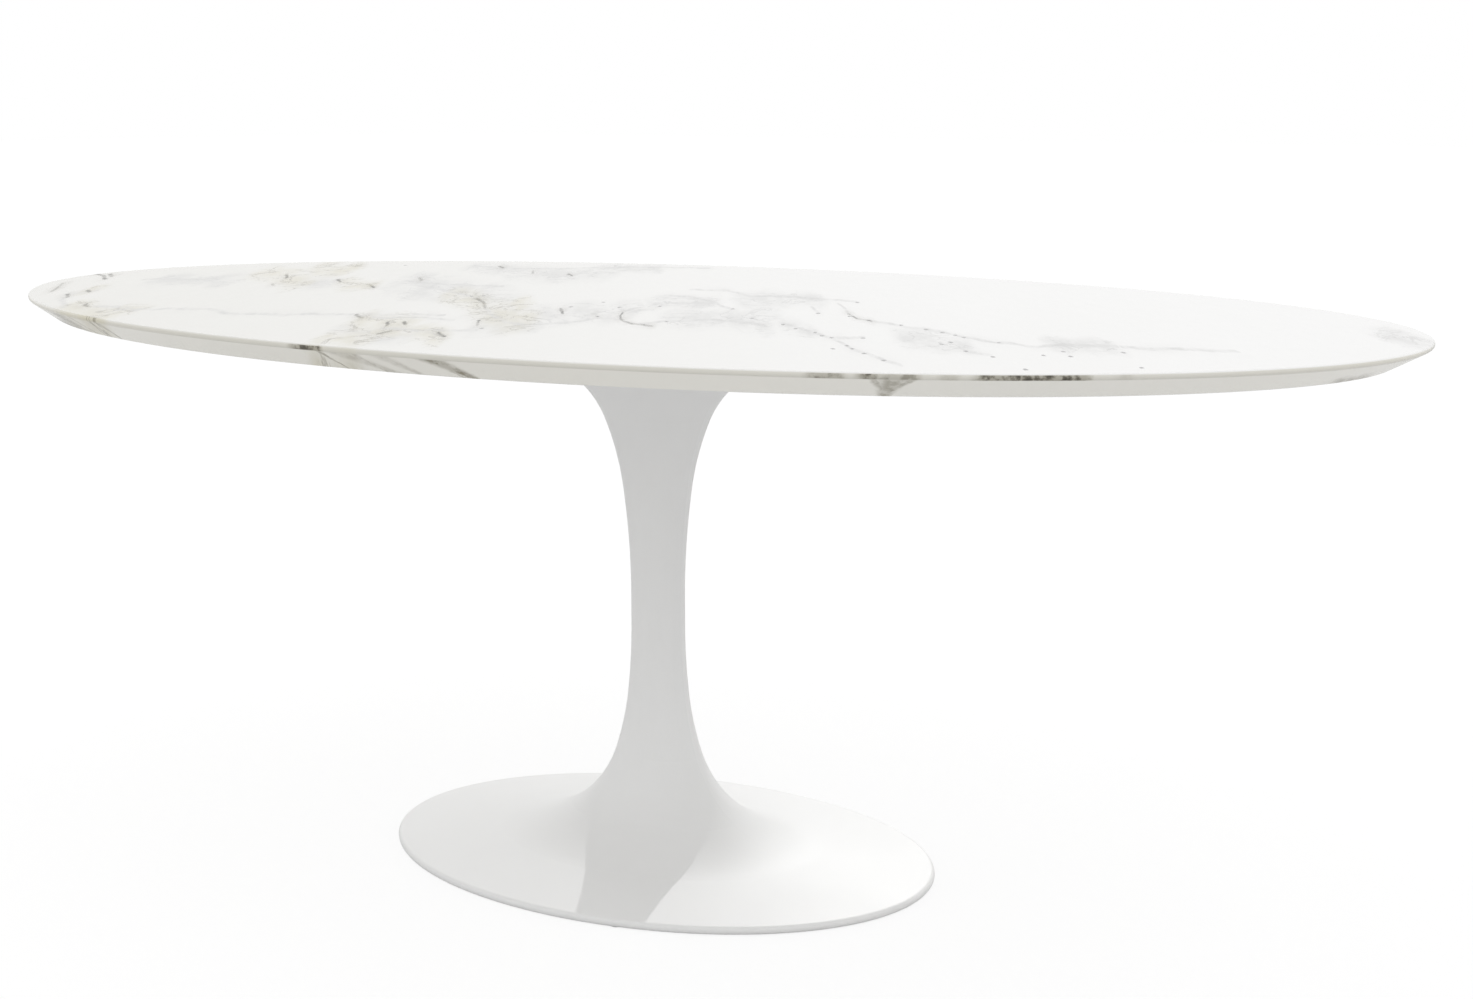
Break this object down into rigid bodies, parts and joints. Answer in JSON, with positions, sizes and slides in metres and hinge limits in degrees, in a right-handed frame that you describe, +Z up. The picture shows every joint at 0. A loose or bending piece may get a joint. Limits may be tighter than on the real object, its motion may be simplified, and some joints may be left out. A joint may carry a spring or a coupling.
{
  "type": "oval pedestal table",
  "caption": "Oval dining table with a bevelled, veined stone top on a one-piece white trumpet pedestal that flows into a shallow oval foot.",
  "frame": {"origin": "on the floor, under the middle of the table", "axes": "+X along the top's and the foot's long axis, +Y along their short axis, +Z up"},
  "size_m": [1.98, 1.22, 0.72],
  "materials": {
    "stone": "gloss",
    "white_coat": "satin",
    "adhesive": "matte",
    "plywood": "matte",
    "brass": "satin",
    "rubber": "matte",
    "spider_coat": "matte",
    "steel": "satin",
    "spring_steel": "satin",
    "glide_plastic": "matte"
  },
  "bodies": {
    "root": {"stone_top": "stone", "bond_layer": "adhesive", "backing_board": "plywood", "board_inserts": "brass", "isolation_pads": "rubber", "mounting_spider": "spider_coat", "top_screws": "steel", "top_screw_washers": "steel", "top_screw_lock_washers": "spring_steel", "locating_pins": "steel", "pedestal": "white_coat", "tie_rod": "steel", "tie_rod_top_washer": "steel", "tie_rod_top_nut": "steel", "tie_rod_clamp_plate": "steel", "tie_rod_bottom_washer": "steel", "tie_rod_lock_washer": "spring_steel", "tie_rod_bottom_nut": "steel", "floor_glides": "glide_plastic", "glide_screws": "steel"}
  },
  "joints": []
}
